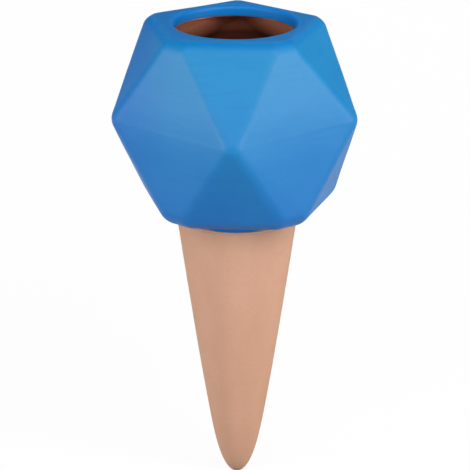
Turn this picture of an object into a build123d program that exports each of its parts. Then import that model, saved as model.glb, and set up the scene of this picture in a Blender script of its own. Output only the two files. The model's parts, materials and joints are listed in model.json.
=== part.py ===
from build123d import *
import math
import os

# A self watering plant spike in fired clay. A hollow faceted reservoir with a round mouth is luted
# with clay slip onto a hollow pointed cone of bare porous clay. A blue coat covers the reservoir
# from its collar up over the lip. The origin is on the axis at the soil line, where the blue collar
# ends and the bare cone begins, with +Z up and one corner of the widest ring facing -Y.

# Driving dimensions in millimetres, angles in degrees.
side_count = 5  # corners in each of the three rings
reservoir_across = 97.8  # outside diameter over the corners of the widest ring
corner_radius = 8.0  # outside rounding of every corner and edge
upper_ring_radius = 30.0  # circle through the corner centres of the top face
upper_corner_flat = 4.5  # each corner of the top face is blunted by a flat this wide
lower_ring_radius = 32.7  # circle through the corner centres of the bottom face
lower_corner_flat = 3.5  # the same at the bottom face
upper_height = 35.0  # widest ring up to the top face
lower_height = 39.2  # widest ring down to the bottom face
front_angle = -90.0  # direction of the corner that faces the viewer

coat_thickness = 0.5  # blue coat on the reservoir
reservoir_wall = 4.2  # clay of the reservoir
cavity_corner_radius = 3.3  # rounding inside the reservoir

mouth_radius = 23.8  # filling mouth, inside the coat
lip_radius = 1.0  # rounding of the clay lip under the coat
throat_round = 0.6  # rounding of the bare clay edge under the coat

collar_height = 3.5  # blue collar under the bottom face
collar_wall = 4.4  # clay of the collar round its socket
collar_fillet = 1.2  # hollow between collar and bottom face, on the coat
socket_radius = 19.0  # socket through collar and floor

slip_thickness = 0.6  # layer of clay slip in the joint
slip_bead = 1.8  # bead of slip in the corner on the floor
slip_clearance = 0.05  # left beside the slip at the round faces of spigot and socket

spigot_wall = 4.0  # clay of the spigot in the socket
spigot_rise = 2.0  # spigot above the floor of the reservoir
spike_length = 113.0  # soil line to the point
spike_wall = 4.2  # clay of the cone
spike_bulge_radius = 1150.0  # slight outward curve of the cone's side
tip_radius = 6.0  # rounding of the point
bore_tip_radius = 2.6  # rounding at the bottom of the cone's bore
shoulder_step = 0.1  # the cone's shoulder stands this far inside the coat

crease_angle = 10.0  # slight angle at which a rounding runs out on a flat face
cut_over = 1.0  # how far a cutting shape runs past what it cuts

# Sizes worked out from the driving dimensions.
turn = 360.0 / side_count
middle_ring_radius = reservoir_across / 2 - corner_radius
bottom_z = collar_height
middle_z = bottom_z + lower_height
top_z = middle_z + upper_height
floor_z = bottom_z + coat_thickness + reservoir_wall
ceiling_z = top_z - coat_thickness - reservoir_wall

collar_radius = socket_radius + collar_wall
spigot_radius = socket_radius - slip_thickness
spigot_bore_radius = spigot_radius - spigot_wall
spigot_top_z = floor_z + spigot_rise
shoulder_radius = collar_radius + coat_thickness - shoulder_step
shoulder_z = -slip_thickness

# A rounding never takes more than its share of the wall or step that it is cut in.
clay_lip = min(lip_radius, 0.6 * reservoir_wall)
coat_lip = clay_lip + coat_thickness
throat_edge = min(throat_round, 0.3 * reservoir_wall)
throat_edge_z = ceiling_z + throat_edge
collar_hollow = min(collar_fillet, 0.6 * collar_height)
bead_edge = min(slip_bead, 0.9 * spigot_rise)
run_out = math.cos(math.radians(crease_angle))
half_way = math.sqrt(0.5)  # a quarter arc's middle, as a share of its radius


def ring_points(radius, height, angle):
    """Corner centres evenly spaced on a level circle."""
    return [
        Vector(
            radius * math.cos(math.radians(angle + turn * i)),
            radius * math.sin(math.radians(angle + turn * i)),
            height,
        )
        for i in range(side_count)
    ]


def blunted_points(radius, height, angle, flat):
    """Corner centres in pairs on a level circle, the two of a pair a flat's width apart."""
    half_flat = math.degrees(math.asin(flat / 2 / radius))
    return list(
        zip(
            ring_points(radius, height, angle - half_flat),
            ring_points(radius, height, angle + half_flat),
        )
    )


def polygon_face(*points):
    return Face(Wire.make_polygon(points, close=True))


def folded_faces(above, left, below, right):
    """The side between four corners, folded on the diagonal that stands further out."""
    above_left, above_right = above
    below_left, below_right = below
    above_middle = (above_left + above_right) * 0.5
    below_middle = (below_left + below_right) * 0.5
    share = (left.Z - below_middle.Z) / (above_middle.Z - below_middle.Z)
    upright = below_middle + (above_middle - below_middle) * share
    level = (left + right) * 0.5
    if math.hypot(level.X, level.Y) > math.hypot(upright.X, upright.Y):
        return [
            polygon_face(above_right, above_left, left, right),
            polygon_face(below_left, below_right, right, left),
        ]
    return [
        polygon_face(above_left, left, below_left),
        polygon_face(above_left, below_left, below_right, above_right),
        polygon_face(above_right, below_right, right),
    ]


def faceted_core(setback):
    """The flat-sided solid through the corner centres, each moved in by setback."""
    ring_setback = setback / math.cos(math.radians(turn / 2))
    half_turn = turn / 2
    upper = blunted_points(
        upper_ring_radius - ring_setback,
        top_z - corner_radius - setback,
        front_angle + half_turn,
        upper_corner_flat,
    )
    middle = ring_points(middle_ring_radius - ring_setback, middle_z, front_angle)
    lower = blunted_points(
        lower_ring_radius - ring_setback,
        bottom_z + corner_radius + setback,
        front_angle + half_turn,
        lower_corner_flat,
    )
    top_outline = [point for pair in upper for point in pair]
    bottom_outline = [point for pair in lower for point in pair]
    faces = [polygon_face(*top_outline), polygon_face(*reversed(bottom_outline))]
    for i in range(side_count):
        j = (i + 1) % side_count
        faces.append(polygon_face(upper[i][1], middle[j], upper[j][0]))
        faces.append(polygon_face(lower[i][1], lower[j][0], middle[j]))
        faces.extend(folded_faces(upper[i], middle[i], lower[i], middle[j]))
    return Solid(Shell(faces))


def rounded_hull(inset, rounding):
    """The faceted body moved in by inset all round, with this rounding on its corners and edges."""
    setback = inset + rounding - corner_radius
    return Part() + faceted_core(setback).offset_3d(None, rounding, kind=Kind.ARC)


def disc(radius, low_z, high_z):
    """A round plug on the axis between two levels."""
    return Pos(0, 0, low_z) * Cylinder(
        radius, high_z - low_z, align=(Align.CENTER, Align.CENTER, Align.MIN)
    )


def revolved(*edges):
    """The solid swept round the axis by a closed outline in the XZ plane."""
    return revolve(make_face(Curve() + list(edges)), Axis.Z)


def mouth_cut(inset):
    """What the mouth takes out, at the coat's surface for inset 0 or under the coat at its thickness."""
    wall_radius = mouth_radius + inset
    edge_radius = mouth_radius + coat_thickness
    arc_radius = coat_lip - inset
    lip_out = mouth_radius + coat_lip
    lip_z = top_z - inset - arc_radius * run_out
    lip_top = (lip_out, 0, lip_z + arc_radius)
    lip_middle = (lip_out - arc_radius * half_way, 0, lip_z + arc_radius * half_way)
    lip_foot = (wall_radius, 0, lip_z)
    wall_foot = (wall_radius, 0, throat_edge_z)
    edge_top = (edge_radius, 0, throat_edge_z)
    edge_rest = throat_edge * (1 - half_way)
    edge_middle = (edge_radius + edge_rest, 0, ceiling_z + edge_rest)
    edge_foot = (edge_radius + throat_edge, 0, ceiling_z)
    above = top_z + cut_over
    below = ceiling_z - cut_over
    ledge = [Line(wall_foot, edge_top)] if inset < coat_thickness else []
    return revolved(
        Line((0, 0, below), (0, 0, above)),
        Line((0, 0, above), (lip_out, 0, above)),
        Line((lip_out, 0, above), lip_top),
        ThreePointArc(lip_top, lip_middle, lip_foot),
        Line(lip_foot, wall_foot),
        *ledge,
        ThreePointArc(edge_top, edge_middle, edge_foot),
        Line(edge_foot, (edge_foot[0], 0, below)),
        Line((edge_foot[0], 0, below), (0, 0, below)),
    )


def collar_block(inset):
    """The collar's outside, hollowed out into the bottom face and running on up inside the body."""
    side_radius = collar_radius + coat_thickness - inset
    arc_radius = collar_hollow + inset
    arc_z = bottom_z + inset - arc_radius * run_out
    arc_foot = (side_radius, 0, arc_z)
    arc_middle = (side_radius + arc_radius * (1 - half_way), 0, arc_z + arc_radius * half_way)
    arc_top = (side_radius + arc_radius, 0, arc_z + arc_radius)
    return revolved(
        Line((0, 0, 0), (side_radius, 0, 0)),
        Line((side_radius, 0, 0), arc_foot),
        ThreePointArc(arc_foot, arc_middle, arc_top),
        Line(arc_top, (0, 0, middle_z)),
        Line((0, 0, middle_z), (0, 0, 0)),
    )


def collared_body(inset):
    """The solid reservoir with its collar and mouth, at the coat's surface or under the coat."""
    return rounded_hull(inset, corner_radius - inset) + collar_block(inset) - mouth_cut(inset)


def reservoir_shell(clay):
    """The clay reservoir with its cavity, and the socket through its floor and collar."""
    cavity = rounded_hull(coat_thickness + reservoir_wall, cavity_corner_radius)
    return clay - cavity - disc(socket_radius, -cut_over, middle_z)


def slip_joint():
    """The layer of slip round the spigot and on its shoulder, with a bead in the corner on the floor."""
    sleeve = disc(socket_radius - slip_clearance, 0, floor_z)
    flange = disc(shoulder_radius, shoulder_z, 0)
    bead_width = slip_thickness + bead_edge
    corner = (spigot_radius, 0, floor_z)
    bead_out = (spigot_radius + bead_width, 0, floor_z)
    bead_top = (spigot_radius, 0, floor_z + bead_edge)
    bead_middle = (
        spigot_radius + bead_width * (1 - half_way),
        0,
        floor_z + bead_edge * (1 - half_way),
    )
    bead = revolved(
        Line(corner, bead_out), ThreePointArc(bead_out, bead_middle, bead_top), Line(bead_top, corner)
    )
    spigot_hole = disc(spigot_radius + slip_clearance, shoulder_z - cut_over, spigot_top_z)
    return sleeve + flange + bead - spigot_hole


def side_arc_centre():
    """Centre of the large arc through the shoulder that runs smoothly into the round tip."""
    tip_x, tip_z = 0.0, tip_radius - spike_length
    to_shoulder = spike_bulge_radius
    to_tip = spike_bulge_radius - tip_radius
    dx, dz = shoulder_radius - tip_x, shoulder_z - tip_z
    apart = math.hypot(dx, dz)
    along = (to_tip**2 - to_shoulder**2 + apart**2) / (2 * apart)
    aside = math.sqrt(to_tip**2 - along**2)
    return (
        tip_x + (along * dx - aside * dz) / apart,
        tip_z + (along * dz + aside * dx) / apart,
    )


def on_side_arc(centre, radius, height):
    """The point of an arc about that centre at this height, on the cone's side."""
    return (centre[0] + math.sqrt(radius**2 - (height - centre[1]) ** 2), 0, height)


def pointed_outline(centre, radius, tip, start_z):
    """Edges from the side at start_z, down the large arc, round a tip ball and to the axis."""
    ball_z = centre[1] - math.sqrt((radius - tip) ** 2 - centre[0] ** 2)
    joint_angle = math.atan2(ball_z - centre[1], -centre[0])
    joint = (tip * math.cos(joint_angle), 0, ball_z + tip * math.sin(joint_angle))
    point_angle = (joint_angle - math.pi / 2) / 2
    round_middle = (tip * math.cos(point_angle), 0, ball_z + tip * math.sin(point_angle))
    side_top = on_side_arc(centre, radius, start_z)
    side_middle = on_side_arc(centre, radius, (start_z + joint[2]) / 2)
    bottom = (0, 0, ball_z - tip)
    edges = [ThreePointArc(side_top, side_middle, joint), ThreePointArc(joint, round_middle, bottom)]
    return edges, side_top, bottom


def spike_cone():
    """The hollow pointed cone of bare clay, with a spigot that fills the socket."""
    centre = side_arc_centre()
    outside, shoulder, point = pointed_outline(centre, spike_bulge_radius, tip_radius, shoulder_z)
    neck_z = shoulder_z - spike_wall
    neck_slope = max(shoulder_radius - spike_wall - spigot_bore_radius, cut_over)
    inside, bore_top, bore_point = pointed_outline(
        centre, spike_bulge_radius - spike_wall, bore_tip_radius, neck_z - neck_slope
    )
    cone = revolved(*outside, Line(point, (0, 0, shoulder_z)), Line((0, 0, shoulder_z), shoulder))
    neck = (spigot_bore_radius, 0, neck_z)
    neck_middle = (0, 0, neck_z)
    bore = revolved(
        *inside, Line(bore_point, neck_middle), Line(neck_middle, neck), Line(neck, bore_top)
    )
    spigot = disc(spigot_radius, shoulder_z, spigot_top_z)
    channel = disc(spigot_bore_radius, neck_z, spigot_top_z + cut_over)
    return cone + spigot - bore - channel


coated = collared_body(0.0)
clay = collared_body(coat_thickness)
pieces = {
    "reservoir_shell": reservoir_shell(clay),
    "glaze_coat": coated - clay,
    "slip_joint": slip_joint(),
    "spike_cone": spike_cone(),
}

os.makedirs("parts", exist_ok=True)
for name, piece in pieces.items():
    export_step(piece, f"parts/{name}.step")
    print(name, "volume", round(piece.volume), "mm3")
print("overall height", round(top_z + spike_length, 1), "mm")
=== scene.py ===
import json
import math
import bpy
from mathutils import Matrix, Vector


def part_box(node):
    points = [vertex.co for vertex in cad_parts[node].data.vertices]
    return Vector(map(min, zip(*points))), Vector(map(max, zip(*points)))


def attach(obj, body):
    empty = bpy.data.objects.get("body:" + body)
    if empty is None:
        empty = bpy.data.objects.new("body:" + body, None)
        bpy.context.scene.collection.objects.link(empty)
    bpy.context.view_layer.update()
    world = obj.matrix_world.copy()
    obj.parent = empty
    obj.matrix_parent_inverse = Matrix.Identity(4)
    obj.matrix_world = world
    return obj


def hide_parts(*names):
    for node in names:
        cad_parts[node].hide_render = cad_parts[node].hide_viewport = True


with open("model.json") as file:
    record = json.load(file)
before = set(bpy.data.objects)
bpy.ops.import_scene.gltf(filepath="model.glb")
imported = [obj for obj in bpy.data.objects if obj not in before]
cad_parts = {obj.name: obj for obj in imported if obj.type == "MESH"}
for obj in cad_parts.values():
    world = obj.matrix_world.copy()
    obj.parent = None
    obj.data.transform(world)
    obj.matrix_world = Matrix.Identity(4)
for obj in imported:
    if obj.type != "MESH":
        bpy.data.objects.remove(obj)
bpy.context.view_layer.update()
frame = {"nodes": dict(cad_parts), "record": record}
metresPerMm = 0.001
mouthMount = next(mount for mount in frame["record"]["mounts"] if mount["name"] == "mouth")
print("frame loaded:", sorted(frame["nodes"]))


# Node building

def feed(tree, socket, value):
    if isinstance(value, Num):
        value = value.socket
    if isinstance(value, bpy.types.NodeSocket):
        tree.links.new(value, socket)
    else:
        socket.default_value = value


def addNode(tree, kind, feeds=None, **settings):
    node = tree.nodes.new(kind)
    for name, value in settings.items():
        setattr(node, name, value)
    for name, value in (feeds or {}).items():
        feed(tree, node.inputs[name], value)
    return node


class Num:
    # a number inside a node tree, so that a rule can be written as a formula
    def __init__(self, tree, socket):
        self.tree, self.socket = tree, socket

    def calc(self, operation, *values):
        node = self.tree.nodes.new("ShaderNodeMath")
        node.operation = operation
        for socket, value in zip(node.inputs, values):
            feed(self.tree, socket, value)
        return Num(self.tree, node.outputs[0])

    def __add__(self, other):
        return self.calc("ADD", self, other)

    def __sub__(self, other):
        return self.calc("SUBTRACT", self, other)

    def __rsub__(self, other):
        return self.calc("SUBTRACT", other, self)

    def __mul__(self, other):
        return self.calc("MULTIPLY", self, other)

    def __truediv__(self, other):
        return self.calc("DIVIDE", self, other)

    def __rtruediv__(self, other):
        return self.calc("DIVIDE", other, self)

    def __pow__(self, other):
        return self.calc("POWER", self, other)

    def sin(self):
        return self.calc("SINE", self)

    def cos(self):
        return self.calc("COSINE", self)

    def exp(self):
        return self.calc("EXPONENT", self)

    def absolute(self):
        return self.calc("ABSOLUTE", self)

    def atLeast(self, other):
        return self.calc("MAXIMUM", self, other)

    def atMost(self, other):
        return self.calc("MINIMUM", self, other)


def vector(tree, x, y, z):
    return addNode(tree, "ShaderNodeCombineXYZ", {"X": x, "Y": y, "Z": z}).outputs[0]


def split(tree, socket):
    node = addNode(tree, "ShaderNodeSeparateXYZ", {0: socket})
    return [Num(tree, output) for output in node.outputs]


def vectorMath(tree, operation, feeds):
    return addNode(tree, "ShaderNodeVectorMath", feeds, operation=operation).outputs[0]


def rotation(tree, tilt, turn):
    return addNode(tree, "FunctionNodeEulerToRotation", {0: vector(tree, tilt, 0.0, turn)}).outputs[0]


def joined(tree, parts):
    node = addNode(tree, "GeometryNodeJoinGeometry")
    for part in parts:
        tree.links.new(part, node.inputs[0])
    return node.outputs[0]


def newPieceTree(name, sizes):
    # a modifier tree with one named input for each size
    tree = bpy.data.node_groups.new(name, "GeometryNodeTree")
    tree.is_modifier = True
    tree.interface.new_socket("Geometry", in_out="OUTPUT", socket_type="NodeSocketGeometry")
    for label, value in sizes.items():
        kind = "NodeSocketInt" if isinstance(value, int) else "NodeSocketFloat"
        tree.interface.new_socket(label, in_out="INPUT", socket_type=kind)
    entry = tree.nodes.new("NodeGroupInput")
    return tree, {label: Num(tree, entry.outputs[label]) for label in sizes}


def endPieceTree(tree, parts, material):
    # seams closed, soft shading, millimetres to metres
    seamGap = 0.01
    whole = joined(tree, parts)
    merged = addNode(tree, "GeometryNodeMergeByDistance", {"Geometry": whole, "Distance": seamGap})
    smooth = addNode(tree, "GeometryNodeSetShadeSmooth", {"Geometry": merged.outputs[0]})
    scale = (metresPerMm,) * 3
    sized = addNode(tree, "GeometryNodeTransform", {"Geometry": smooth.outputs[0], "Scale": scale})
    real = addNode(tree, "GeometryNodeRealizeInstances", {"Geometry": sized.outputs[0]})
    dressed = addNode(tree, "GeometryNodeSetMaterial", {"Geometry": real.outputs[0], "Material": material})
    leave = tree.nodes.new("NodeGroupOutput")
    tree.links.new(dressed.outputs[0], leave.inputs[0])


def pieceFromTree(name, tree, sizes):
    piece = bpy.data.objects.new(name, bpy.data.meshes.new(name))
    bpy.context.scene.collection.objects.link(piece)
    modifier = piece.modifiers.new(name, "NODES")
    modifier.node_group = tree
    for item in tree.interface.items_tree:
        if item.in_out == "INPUT":
            modifier[item.identifier] = sizes[item.name]
    evaluated = piece.evaluated_get(bpy.context.evaluated_depsgraph_get())
    mesh = bpy.data.meshes.new_from_object(evaluated)
    piece.modifiers.remove(modifier)
    piece.data = mesh
    mesh.name = name
    print(name, "made:", len(mesh.vertices), "points,", len(mesh.polygons), "faces")
    return piece


# Round sheets: every surface is a grid, x runs round the axis and y along the outline

def sheet(tree, columns, rows):
    feeds = {"Size X": 1.0, "Size Y": 1.0, "Vertices X": columns + 1, "Vertices Y": rows}
    return addNode(tree, "GeometryNodeMeshGrid", feeds).outputs["Mesh"]


def roundAndAlong(tree):
    # angle from the seam at the back, and the share of the way along the outline
    place = addNode(tree, "GeometryNodeInputPosition").outputs[0]
    x, y, _ = split(tree, place)
    return (x + 0.5) * (-2 * math.pi) + math.pi / 2, y + 0.5


def placed(tree, mesh, point):
    return addNode(tree, "GeometryNodeSetPosition", {"Geometry": mesh, "Position": point}).outputs[0]


def turned(tree, radius, angle, height, drift=0.0):
    return vector(tree, radius * angle.cos() + drift, radius * angle.sin(), height)


def waver(tree, point, size, share=1.0):
    # slow unevenness of hand-finished clay, about between minus and plus the amount
    noiseSpread = 3.0
    feeds = {"Vector": point, "W": size["seed"], "Scale": size["unevenScale"], "Detail": 1.5}
    noise = addNode(tree, "ShaderNodeTexNoise", feeds, noise_dimensions="4D")
    return (Num(tree, noise.outputs[0]) - 0.5) * noiseSpread * (size["unevenness"] * share)


# Reservoir: a rounded hull over three rings of corners, in millimetres

reservoir = {
    "corners": 5,
    "topRing": 31.4, "topHeight": 71.95, "topDrift": -1.35, "topTilt": 0.004, "topTurn": 0.0,
    "topBlunt": 0.0586, "topFrontBlunt": 1.2, "topRounding": 5.5,
    "middleRing": 42.45, "middleHeight": 43.4, "middleDrift": -0.75, "middleTilt": -0.05, "middleTurn": 0.03,
    "middleBlunt": 0.0, "middleFrontBlunt": 0.0,
    "bottomRing": 31.6, "bottomHeight": 11.6, "bottomDrift": 0.4, "bottomTilt": 0.0, "bottomTurn": 0.0,
    "bottomBlunt": 0.08, "bottomFrontBlunt": 0.55, "bottomRounding": 8.1,
    "coat": 0.5, "clayWall": 4.2, "contactGap": 0.02,
    "mouthRadius": mouthMount["dims"]["r_mm"], "mouthDrift": -0.75,
    "lip": 1.5, "throatHeight": 73.6, "throatEdge": 0.6,
    "paintedThroat": 73.2, "throatTilt": 0.45, "throatTiltAngle": math.radians(150), "paintEdge": 0.2,
    "collarRadius": 23.9, "collarHollow": 1.2, "footHeight": 0.0,
    "paintHeight": 0.45, "paintWave": 0.2, "paintWaves": 5.0,
    "sideSoftness": 0.53, "sideSoftHeight": 11.0, "sideSoftRise": 0.25, "sideSoftLean": 0.8,
    "sideSoftEdge": 0.6,
    "cavityEase": 2.0, "cavityRingEase": 1.2,
    "socketRadius": 19.0, "socketEdge": 0.4,
    "columns": 300, "bodyRows": 126, "rimRows": 15, "edgeRows": 7,
    "unevenness": 0.22, "unevenScale": 0.03, "seed": 4.0,
}
cage = {"reach": 52.5, "halfHeight": 39.0, "middle": 40.7, "power": 3.0}


def cornerHull(tree, size, setback):
    # the flat-sided core through the corner centres; every surface stands a set distance off it
    # a blunted corner is two corners close together
    rings = []
    for ring, halfStep, side, upward in (
        ("top", 0.5, -1.0, 1.0), ("top", 0.5, 1.0, 1.0), ("middle", 0.0, 1.0, 0.0),
        ("bottom", 0.5, -1.0, -1.0), ("bottom", 0.5, 1.0, -1.0),
    ):
        radius = size[ring + "Ring"] - size["cavityRingEase"] * setback
        circle = addNode(tree, "GeometryNodeMeshCircle", {"Vertices": size["corners"], "Radius": radius})
        turn = halfStep * 2 * math.pi / size["corners"] - math.pi / 2 + size[ring + "Turn"]
        spin = rotation(tree, 0.0, turn)
        feeds = {"Geometry": circle.outputs[0], "Rotation": spin}
        sharp = addNode(tree, "GeometryNodeTransform", feeds).outputs[0]
        corner = addNode(tree, "GeometryNodeInputPosition").outputs[0]
        _, back, _ = split(tree, corner)
        apart = size[ring + "Blunt"] * side * (1.0 - back / radius * size[ring + "FrontBlunt"])
        feeds = {"Vector": corner, "Angle": apart}
        beside = addNode(tree, "ShaderNodeVectorRotate", feeds, rotation_type="Z_AXIS")
        blunted = placed(tree, sharp, beside.outputs[0])
        lean = rotation(tree, size[ring + "Tilt"] * -1.0, 0.0)
        spot = vector(tree, size[ring + "Drift"], 0.0, size[ring + "Height"] - setback * upward)
        feeds = {"Geometry": blunted, "Translation": spot, "Rotation": lean}
        rings.append(addNode(tree, "GeometryNodeTransform", feeds).outputs[0])
    return addNode(tree, "GeometryNodeConvexHull", {"Geometry": joined(tree, rings)}).outputs[0]


def offHull(tree, size, core, point, inset):
    # the edges are rounder towards the bottom, so the distance off the core grows downwards
    feeds = {"Geometry": core, "Sample Position": point}
    near = addNode(tree, "GeometryNodeProximity", feeds).outputs["Position"]
    outward = vectorMath(tree, "NORMALIZE", {0: vectorMath(tree, "SUBTRACT", {0: point, 1: near})})
    _, _, height = split(tree, near)
    rise = (height - size["bottomHeight"]) / (size["topHeight"] - size["bottomHeight"])
    rounding = size["bottomRounding"] + (size["topRounding"] - size["bottomRounding"]) * rise
    step = vectorMath(tree, "SCALE", {0: outward, "Scale": rounding - inset})
    return vectorMath(tree, "ADD", {0: near, 1: step})


def softSides(tree, size, point, angle):
    # the shallow edges between two middle corners are rubbed down almost flat
    _, y, height = split(tree, point)
    off = height - size["middleHeight"] - size["sideSoftRise"] + y * size["middleTilt"] * size["sideSoftLean"]
    away = (off ** 2.0 + size["sideSoftEdge"] ** 2.0) ** 0.5
    near = (1.0 - away / size["sideSoftHeight"]).atLeast(0.0)
    between = 1.0 - ((angle + math.pi / 2) * size["corners"]).cos()
    return near ** 2.0 * size["sideSoftness"] * (between * 2.0).atMost(1.0)


def cageAngle(radius, top):
    # polar angle at which the cage has this radius, near its top or its bottom
    height = cage["halfHeight"] * (1 - (radius / cage["reach"]) ** cage["power"]) ** (1 / cage["power"])
    polar = math.atan2(radius, height)
    return polar if top else math.pi - polar


def cagePoint(tree, angle, along, size, lipOut, collarOut):
    # where a surface point starts from: a round-shouldered barrel just outside the hull
    first, last = cageAngle(lipOut, True), cageAngle(collarOut, False)
    polar = along * (last - first) + first
    power = cage["power"]
    across = (polar.sin() / cage["reach"]) ** power
    upward = (polar.cos().absolute() / cage["halfHeight"]) ** power
    reach = (across + upward) ** (-1 / power)
    drift = (1.0 - along) * size["mouthDrift"]
    return turned(tree, reach * polar.sin(), angle, reach * polar.cos() + cage["middle"], drift)


def rimPoint(tree, angle, along, start, drift, radius, depth, foot):
    # from a start point on the hull, round a rim and straight on to its foot
    straight = 0.4
    way = along * (1 + straight)
    bend = way.atMost(1.0) * (math.pi / 2)
    run = (way - 1.0).atLeast(0.0) / straight
    x, y, z = split(tree, start)
    ringX, ringY = radius * angle.cos() + drift, radius * angle.sin()
    out = 1.0 - bend.sin()
    height = z - depth * (1.0 - bend.cos()) + (foot - (z - depth)) * run
    return vector(tree, ringX + (x - ringX) * out, ringY + (y - ringY) * out, height)


def closingRing(tree, angle, along, radius, otherRadius, foot, drift, bulge):
    # the narrow round edge between two surfaces
    half = along * math.pi
    ringRadius = (radius + otherRadius) * 0.5 + (radius - otherRadius) * 0.5 * half.cos()
    return turned(tree, ringRadius, angle, foot - half.sin() * bulge, drift)


def vesselSkin(tree, size, core, skin):
    angle, along = roundAndAlong(tree)
    upward = 1.0 - along
    drift = size["mouthDrift"]
    throat, foot = skin["throat"](angle), skin["foot"](angle)

    def surface(share):
        start = cagePoint(tree, angle, share, size, skin["lipOut"], skin["collarOut"])
        uneven = waver(tree, start, size, skin["uneven"])
        soft = softSides(tree, size, offHull(tree, size, core, start, skin["inset"]), angle)
        return offHull(tree, size, core, start, soft - uneven + skin["inset"])

    def band(rows, point):
        return placed(tree, sheet(tree, size["columns"], size[rows]), point)

    firstRow = along * 0.0
    lastRow = firstRow + 1.0
    parts = [
        band("bodyRows", surface(along)),
        band("rimRows", rimPoint(
            tree, angle, upward, surface(firstRow), drift, skin["mouth"], skin["lip"], throat)),
        band("rimRows", rimPoint(
            tree, angle, along, surface(lastRow), 0.0, skin["collar"], skin["hollow"], foot)),
    ]
    if "closeMouth" in skin:
        parts.append(band("edgeRows", closingRing(
            tree, angle, upward, skin["mouth"], skin["closeMouth"], throat, drift, skin["bulge"])))
    if "closeCollar" in skin:
        parts.append(band("edgeRows", closingRing(
            tree, angle, along, skin["collar"], skin["closeCollar"], foot, 0.0, skin["bulge"])))
    whole = joined(tree, parts)
    if skin["inner"]:
        return addNode(tree, "GeometryNodeFlipFaces", {"Mesh": whole}).outputs[0]
    return whole


def makeCoat(material):
    tree, size = newPieceTree("glazeCoat", reservoir)
    core = cornerHull(tree, size, 0.0)

    def paintedThroat(angle):
        return size["paintedThroat"] + (angle - size["throatTiltAngle"]).cos() * size["throatTilt"]

    def paintedFoot(angle):
        wave = ((angle + math.pi / 2) * size["paintWaves"]).cos() * size["paintWave"]
        return size["footHeight"] + size["paintHeight"] - wave

    shared = {
        "lipOut": reservoir["mouthRadius"] + reservoir["lip"],
        "collarOut": reservoir["collarRadius"] + reservoir["collarHollow"],
        "throat": paintedThroat, "foot": paintedFoot, "uneven": 1.0,
    }
    outside = vesselSkin(tree, size, core, {
        **shared, "inset": 0.0, "mouth": size["mouthRadius"], "lip": size["lip"],
        "collar": size["collarRadius"], "hollow": size["collarHollow"],
        "inner": False, "bulge": size["paintEdge"],
        "closeMouth": size["mouthRadius"] + size["coat"], "closeCollar": size["collarRadius"] - size["coat"],
    })
    inside = vesselSkin(tree, size, core, {
        **shared, "inset": size["coat"], "mouth": size["mouthRadius"] + size["coat"],
        "lip": size["lip"] - size["coat"], "collar": size["collarRadius"] - size["coat"],
        "hollow": size["collarHollow"] + size["coat"], "inner": True,
    })
    endPieceTree(tree, [outside, inside], material)
    return pieceFromTree("glazeCoat", tree, reservoir)


def makeClay(material):
    tree, size = newPieceTree("reservoirClay", reservoir)
    core = cornerHull(tree, size, 0.0)
    cavityCore = cornerHull(tree, size, size["cavityEase"])
    inset = size["coat"] + size["contactGap"]

    def bareThroat(angle):
        return size["throatHeight"]

    def bareFoot(angle):
        return size["footHeight"] + size["contactGap"]

    shared = {"mouth": size["mouthRadius"] + inset, "throat": bareThroat, "foot": bareFoot}
    outside = vesselSkin(tree, size, core, {
        **shared, "lipOut": reservoir["mouthRadius"] + reservoir["lip"],
        "collarOut": reservoir["collarRadius"] + reservoir["collarHollow"], "uneven": 1.0,
        "inset": inset, "lip": size["lip"] - inset,
        "collar": size["collarRadius"] - inset, "hollow": size["collarHollow"] + inset,
        "inner": False, "bulge": 0.0, "closeCollar": size["socketRadius"],
    })
    cavity = vesselSkin(tree, size, cavityCore, {
        **shared, "lipOut": reservoir["mouthRadius"] + reservoir["coat"] + reservoir["throatEdge"],
        "collarOut": reservoir["socketRadius"] + reservoir["socketEdge"], "uneven": 0.0,
        "inset": size["coat"] + size["clayWall"] - size["cavityEase"], "lip": 0.0 - size["throatEdge"],
        "collar": size["socketRadius"], "hollow": size["socketEdge"], "inner": True,
    })
    endPieceTree(tree, [outside, cavity], material)
    return pieceFromTree("reservoirClay", tree, reservoir)


# Cone: a straight taper that closes in a round nose, with a spigot on top, in millimetres

cone = {
    "length": 113.0, "shoulderRadius": 23.8, "shoulderHeight": -0.6,
    "noseRadius": 7.1, "noseLength": 8.6, "swell": 0.35,
    "wall": 4.2, "boreNose": 2.7, "boreNoseLength": 4.3, "boreBottom": -105.0,
    "spigotRadius": 18.4, "spigotTop": 10.2, "spigotBore": 14.4, "spigotEdge": 0.6,
    "neckHeight": -4.8, "neckSlope": 5.2,
    "columns": 200, "sideRows": 150, "boreRows": 60, "bandRows": 2, "rowsToNose": 1.6,
    "unevenness": 0.12, "unevenScale": 0.025, "seed": 7.0,
}


def noseOutline(rise, top, topRadius, noseRadius, noseLength):
    # radius at a rise above the point: a taper times a closing curve
    taper = (topRadius - noseRadius) / top * rise + noseRadius
    closing = (1.0 - (rise * -1.0 / noseLength).exp()).atLeast(0.0) ** 0.5
    return taper * closing


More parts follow.
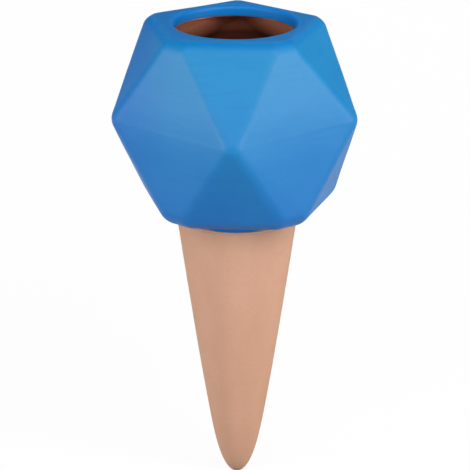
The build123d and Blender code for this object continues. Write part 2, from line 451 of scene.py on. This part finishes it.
def makeCone(material):
    tree, size = newPieceTree("spikeCone", cone)
    angle, along = roundAndAlong(tree)

    def ringSheet(rows, radius, height):
        return placed(tree, sheet(tree, size["columns"], size[rows]), turned(tree, radius, angle, height))

    def band(radius, height, otherRadius, otherHeight):
        bandRadius = radius + along * (otherRadius - radius)
        return ringSheet("bandRows", bandRadius, height + along * (otherHeight - height))

    shoulder, shoulderRadius = size["shoulderHeight"], size["shoulderRadius"]
    fall = shoulder + size["length"]
    rise = (1.0 - along) ** size["rowsToNose"] * fall
    radius = noseOutline(rise, fall, shoulderRadius, size["noseRadius"], size["noseLength"])
    radius = radius + (rise / fall * math.pi).sin() * (rise / fall) * size["swell"]
    height = rise - size["length"]
    fade = (along * math.pi).sin()
    uneven = waver(tree, turned(tree, radius, angle, height), size) * fade

    boreTop = size["neckHeight"] - size["neckSlope"]
    boreFall = boreTop - size["boreBottom"]
    boreRise = along ** size["rowsToNose"] * boreFall
    taper = (shoulderRadius - size["noseRadius"]) * (shoulder - boreTop) / fall
    boreTopRadius = shoulderRadius - size["wall"] - taper
    boreRadius = noseOutline(boreRise, boreFall, boreTopRadius, size["boreNose"], size["boreNoseLength"])

    edge = size["spigotEdge"]
    outer, inner, top = size["spigotRadius"], size["spigotBore"], size["spigotTop"]
    parts = [
        ringSheet("sideRows", radius + uneven, height),
        ringSheet("boreRows", boreRadius, boreRise + size["boreBottom"]),
        band(boreTopRadius, boreTop, inner, size["neckHeight"]),
        band(inner, size["neckHeight"], inner, top - edge),
        band(inner, top - edge, inner + edge, top),
        band(inner + edge, top, outer - edge, top),
        band(outer - edge, top, outer, top - edge),
        band(outer, top - edge, outer, shoulder),
        band(outer, shoulder, shoulderRadius, shoulder),
    ]
    endPieceTree(tree, parts, material)
    return pieceFromTree("spikeCone", tree, cone)


# Finishes

def newFinish(name):
    material = bpy.data.materials.new(name)
    material.use_nodes = True
    tree = material.node_tree
    tree.nodes.clear()
    shader = tree.nodes.new("ShaderNodeBsdfPrincipled")
    leave = tree.nodes.new("ShaderNodeOutputMaterial")
    tree.links.new(shader.outputs[0], leave.inputs["Surface"])
    return material, tree, shader


def objectSpot(tree):
    return addNode(tree, "ShaderNodeTexCoord").outputs["Object"]


def grain(tree, scale, detail=2.0, roughness=0.5, stretch=(1.0, 1.0, 1.0)):
    mapped = addNode(tree, "ShaderNodeMapping", {"Vector": objectSpot(tree), "Scale": stretch}).outputs[0]
    feeds = {"Vector": mapped, "Scale": scale, "Detail": detail, "Roughness": roughness}
    return Num(tree, addNode(tree, "ShaderNodeTexNoise", feeds).outputs[0])


def blendColour(tree, factor, first, second):
    node = addNode(tree, "ShaderNodeMix", data_type="RGBA")
    feed(tree, node.inputs[0], factor)
    feed(tree, node.inputs[6], first)
    feed(tree, node.inputs[7], second)
    return node.outputs[2]


def ramp(tree, value, low, high):
    node = addNode(tree, "ShaderNodeMapRange", {"Value": value, "From Min": low, "From Max": high})
    node.clamp = True
    return Num(tree, node.outputs[0])


def setSurface(tree, shader, finish, colour, roughness, height):
    feed(tree, shader.inputs["Base Color"], colour)
    feed(tree, shader.inputs["Roughness"], roughness)
    feed(tree, shader.inputs["Specular IOR Level"], finish["gloss"])
    feeds = {"Height": height, "Strength": finish["bump"], "Distance": finish["bumpDepth"]}
    bump = addNode(tree, "ShaderNodeBump", feeds)
    feed(tree, shader.inputs["Normal"], bump.outputs[0])


blueFinish = {
    # painted shade: the lower blue is deeper towards the bottom
    "upper": (0.005, 0.196, 0.438, 1.0), "lower": (0.006, 0.131, 0.428, 1.0),
    "lowerEnd": 0.006, "upperStart": 0.066,
    "paler": (0.03, 0.25, 0.54, 1.0), "deeper": (0.002, 0.12, 0.36, 1.0),
    # the rim blue is painted shade on the top rim, with no sheen
    "rimBlue": (0.0, 0.18, 0.52, 1.0), "mouthBlue": (0.0, 0.19, 0.6, 1.0),
    "patchScale": 36.0, "patchRange": (0.3, 0.7), "patchShare": 0.2,
    "strokeScale": 55.0, "strokeStretch": (1.0, 1.0, 10.0), "strokeRange": (0.5, 0.8), "strokeShare": 0.25,
    # painted shade on the left towards the back
    "left": (-0.766, 0.643), "leftRange": (-0.004, 0.018), "backRange": (0.03, 0.01), "leftShare": 0.9,
    # painted shade on the top rim
    "rimRange": (0.0745, 0.0775), "rimShare": 0.8,
    "rimStrokes": 420.0, "rimStrokeScale": 2.2, "rimStrokeRange": (0.45, 0.7), "rimStrokeShare": 0.45,
    # painted light in the mouth and painted shade in the collar hollow
    "narrowRange": (0.0254, 0.0241), "mouthShare": 0.85, "collarShare": 0.5,
    "fineScale": 900.0, "roughness": 0.5, "roughnessSpread": 0.15, "gloss": 0.28,
    "bump": 0.12, "bumpDepth": 0.0004, "strokeHeight": 0.6, "fineHeight": 0.4,
}


def blueCoatFinish():
    blue = blueFinish
    material, tree, shader = newFinish("blueCoat")
    x, y, z = split(tree, objectSpot(tree))
    patches = ramp(tree, grain(tree, blue["patchScale"], 3.0), *blue["patchRange"])
    strokes = grain(tree, blue["strokeScale"], 4.0, 0.6, blue["strokeStretch"])
    fine = grain(tree, blue["fineScale"])
    # painted shade: a deeper blue low down and on the left towards the back, and a purer, sheen-free blue
    # painted on the top rim; the rim is also brushed round the mouth
    high = ramp(tree, z, blue["lowerEnd"], blue["upperStart"])
    leftX, leftY = blue["left"]
    left = ramp(tree, x * leftX + y * leftY, *blue["leftRange"]) * ramp(tree, y, *blue["backRange"])
    colour = blendColour(tree, high * (1.0 - left * blue["leftShare"]), blue["lower"], blue["upper"])
    colour = blendColour(tree, patches * blue["patchShare"], colour, blue["paler"])
    brushed = ramp(tree, strokes, *blue["strokeRange"])
    colour = blendColour(tree, brushed * blue["strokeShare"], colour, blue["deeper"])
    outFromAxis = (x ** 2.0 + y ** 2.0) ** 0.5
    roundAxis = vector(tree, x / outFromAxis, y / outFromAxis, outFromAxis * blue["rimStrokes"])
    feeds = {"Vector": roundAxis, "Scale": blue["rimStrokeScale"], "Detail": 3.0}
    rimBrushed = Num(tree, addNode(tree, "ShaderNodeTexNoise", feeds).outputs[0])
    # painted shade on the top rim: a purer blue without sheen
    onRim = ramp(tree, z, *blue["rimRange"])
    colour = blendColour(tree, onRim * blue["rimShare"], colour, blue["rimBlue"])
    rimStrokes = onRim * ramp(tree, rimBrushed, *blue["rimStrokeRange"])
    colour = blendColour(tree, rimStrokes * blue["rimStrokeShare"], colour, blue["deeper"])
    # painted light: a brighter blue in the mouth; painted shade: a deeper blue in the hollow of the collar
    narrow = ramp(tree, outFromAxis, *blue["narrowRange"])
    colour = blendColour(tree, narrow * high * blue["mouthShare"], colour, blue["mouthBlue"])
    colour = blendColour(tree, narrow * (1.0 - high) * blue["collarShare"], colour, blue["deeper"])
    roughness = (fine - 0.5) * blue["roughnessSpread"] + blue["roughness"]
    height = strokes * blue["strokeHeight"] + fine * blue["fineHeight"]
    setSurface(tree, shader, blue, colour, roughness, height)
    return material


clayFinish = {
    "clay": (0.55, 0.308, 0.203, 1.0), "paler": (0.645, 0.38, 0.274, 1.0), "darker": (0.5, 0.26, 0.165, 1.0),
    # painted light: a brighter clay high inside; painted shade: a dark clay deeper inside and towards the
    # back
    "dryInside": (0.92, 0.37, 0.21, 1.0), "wet": (0.085, 0.021, 0.01, 1.0),
    "waterRange": (0.051, 0.038), "waterTilt": 0.8, "footRange": (0.0056, 0.006),
    "patchScale": 26.0, "patchStretch": (1.0, 1.0, 0.5), "patchRange": (0.3, 0.7), "patchShare": 0.7,
    "speckScale": 620.0, "speckRange": (0.5, 0.8), "speckShare": 0.3,
    "poreScale": 1800.0, "roughness": 0.9, "roughnessSpread": 0.1, "gloss": 0.15,
    "bump": 0.2, "bumpDepth": 0.0004, "speckHeight": 0.5, "poreHeight": 0.5,
}


def bareClayFinish(name, shadedInside):
    clay = clayFinish
    material, tree, shader = newFinish(name)
    patches = ramp(tree, grain(tree, clay["patchScale"], 4.0, 0.6, clay["patchStretch"]), *clay["patchRange"])
    specks = grain(tree, clay["speckScale"], 3.0, 0.7)
    pores = grain(tree, clay["poreScale"], 2.0, 0.6)
    colour = blendColour(tree, patches * clay["patchShare"], clay["clay"], clay["paler"])
    speckled = ramp(tree, specks, *clay["speckRange"]) * clay["speckShare"]
    colour = blendColour(tree, speckled, colour, clay["darker"])
    if shadedInside:
        # painted shade inside: darker deeper down and towards the back, with a brighter painted-lit clay
        # higher up; the clay at the foot keeps its own colour
        _, y, z = split(tree, objectSpot(tree))
        inShade = ramp(tree, z - y * clay["waterTilt"], *clay["waterRange"])
        aboveFoot = ramp(tree, z, *clay["footRange"])
        inside = blendColour(tree, inShade, clay["dryInside"], clay["wet"])
        inside = blendColour(tree, speckled, inside, clay["wet"])
        colour = blendColour(tree, aboveFoot, colour, inside)
    roughness = (pores - 0.5) * clay["roughnessSpread"] + clay["roughness"]
    height = specks * clay["speckHeight"] + pores * clay["poreHeight"]
    setSurface(tree, shader, clay, colour, roughness, height)
    return material


blueCoat = blueCoatFinish()
porousClay = bareClayFinish("porousClay", False)
insideClay = bareClayFinish("insideClay", True)
print("finishes made")

coatPiece = makeCoat(blueCoat)
clayPiece = makeClay(insideClay)
conePiece = makeCone(porousClay)
for slot in frame["nodes"]["slip_joint"].material_slots:
    slot.material = porousClay

for piece, node, slotName in (
    (coatPiece, "glaze_coat", "blue_coat"),
    (clayPiece, "reservoir_shell", "reservoir_clay"),
    (conePiece, "spike_cone", "porous_clay"),
):
    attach(piece, "root")
    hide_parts(node)
print("pieces ride on the frame")


# Floor, light and camera

studio = {
    "floorSize": 12.0, "floorSides": 96, "floorBounce": 0.24, "floorSeen": 0.9, "floorGlow": 0.92,
    "horizonLight": 0.3, "skyLight": 0.04, "bandRange": (0.09, 0.04), "lampAim": 0.02,
}
white = (1.0, 1.0, 1.0, 1.0)


def seenDirectly(tree):
    path = tree.nodes.new("ShaderNodeLightPath")
    camera, glossy, through = (
        Num(tree, path.outputs[name]) for name in ("Is Camera Ray", "Is Glossy Ray", "Is Transmission Ray"))
    return camera.atLeast(glossy).atLeast(through)


def makeFloor():
    reach, sides = studio["floorSize"] / 2, studio["floorSides"]
    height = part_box("spike_cone")[0].z
    turns = [2 * math.pi * side / sides for side in range(sides)]
    mesh = bpy.data.meshes.new("floor")
    edge = [(reach * math.cos(turn), reach * math.sin(turn), height) for turn in turns]
    mesh.from_pydata(edge, [], [range(sides)])
    floor = bpy.data.objects.new("floor", mesh)
    bpy.context.scene.collection.objects.link(floor)
    material = bpy.data.materials.new("paleFloor")
    material.use_nodes = True
    tree = material.node_tree
    tree.nodes.clear()
    seen = seenDirectly(tree)
    shade = seen * (studio["floorSeen"] - studio["floorBounce"]) + studio["floorBounce"]
    matte = addNode(tree, "ShaderNodeBsdfDiffuse", {"Color": shade})
    glow = addNode(tree, "ShaderNodeEmission", {"Color": white, "Strength": 1.0})
    feeds = {0: seen * studio["floorGlow"], 1: matte.outputs[0], 2: glow.outputs[0]}
    mixed = addNode(tree, "ShaderNodeMixShader", feeds)
    leave = tree.nodes.new("ShaderNodeOutputMaterial")
    tree.links.new(mixed.outputs[0], leave.inputs["Surface"])
    mesh.materials.append(material)


def makeWorld():
    world = bpy.data.worlds.new("studio")
    bpy.context.scene.world = world
    world.use_nodes = True
    tree = world.node_tree
    tree.nodes.clear()
    # a pale band along the horizon behind the floor, and a dim room above it
    _, _, rise = split(tree, addNode(tree, "ShaderNodeTexCoord").outputs["Generated"])
    band = ramp(tree, rise, *studio["bandRange"])
    brightness = band * (studio["horizonLight"] - studio["skyLight"]) + studio["skyLight"]
    glow = addNode(tree, "ShaderNodeBackground", {"Color": white, "Strength": brightness})
    leave = tree.nodes.new("ShaderNodeOutputWorld")
    tree.links.new(glow.outputs[0], leave.inputs["Surface"])


lamps = {
    # name: azimuth from the front, elevation, distance, width, height, power
    "key": (45.0, 41.0, 1.2, 0.85, 0.6, 8.9),
    "leftTop": (-24.0, 36.0, 1.2, 0.7, 0.6, 5.2),
    "leftCard": (-63.0, 5.0, 1.2, 0.5, 0.34, 9.4),
    "rightCard": (67.0, 5.0, 1.2, 0.5, 0.34, 9.4),
    "backFill": (180.0, 35.0, 1.2, 1.0, 0.6, 8.0),
}


def aimed(obj, azimuth, elevation, distance, target):
    level = math.cos(elevation)
    away = Vector((math.sin(azimuth) * level, -math.cos(azimuth) * level, math.sin(elevation)))
    obj.location = target + away * distance
    obj.rotation_euler = (math.pi / 2 - elevation, 0.0, azimuth)


def makeLamps():
    target = Vector((0.0, 0.0, studio["lampAim"]))
    for name, (azimuth, elevation, distance, width, height, power) in lamps.items():
        light = bpy.data.lights.new(name, "AREA")
        light.shape = "RECTANGLE"
        light.size, light.size_y = width, height
        light.energy = power
        lamp = bpy.data.objects.new(name, light)
        lamp.visible_glossy = name != "backFill"  # a fill for the back only, with no shine on the rim
        bpy.context.scene.collection.objects.link(lamp)
        aimed(lamp, math.radians(azimuth), math.radians(elevation), distance, target)


shot = {
    "azimuth": 3.03, "elevation": 20.69, "distance": 0.92,
    "targetSide": -0.00079, "targetHeight": -0.00977,
    "focalPixels": 2324.8, "imagePixels": 470, "sensor": 36.0,
}


def makeCamera():
    data = bpy.data.cameras.new("camera")
    data.sensor_width = shot["sensor"]
    data.lens = shot["focalPixels"] * shot["sensor"] / shot["imagePixels"]
    camera = bpy.data.objects.new("camera", data)
    bpy.context.scene.collection.objects.link(camera)
    azimuth = math.radians(shot["azimuth"])
    right = Vector((math.cos(azimuth), math.sin(azimuth), 0.0))
    target = right * shot["targetSide"] + Vector((0.0, 0.0, shot["targetHeight"]))
    aimed(camera, azimuth, math.radians(shot["elevation"]), shot["distance"], target)
    bpy.context.scene.camera = camera


makeFloor()
makeWorld()
makeLamps()
makeCamera()
bpy.context.scene.view_settings.view_transform = "Standard"
print("floor, light and camera set")
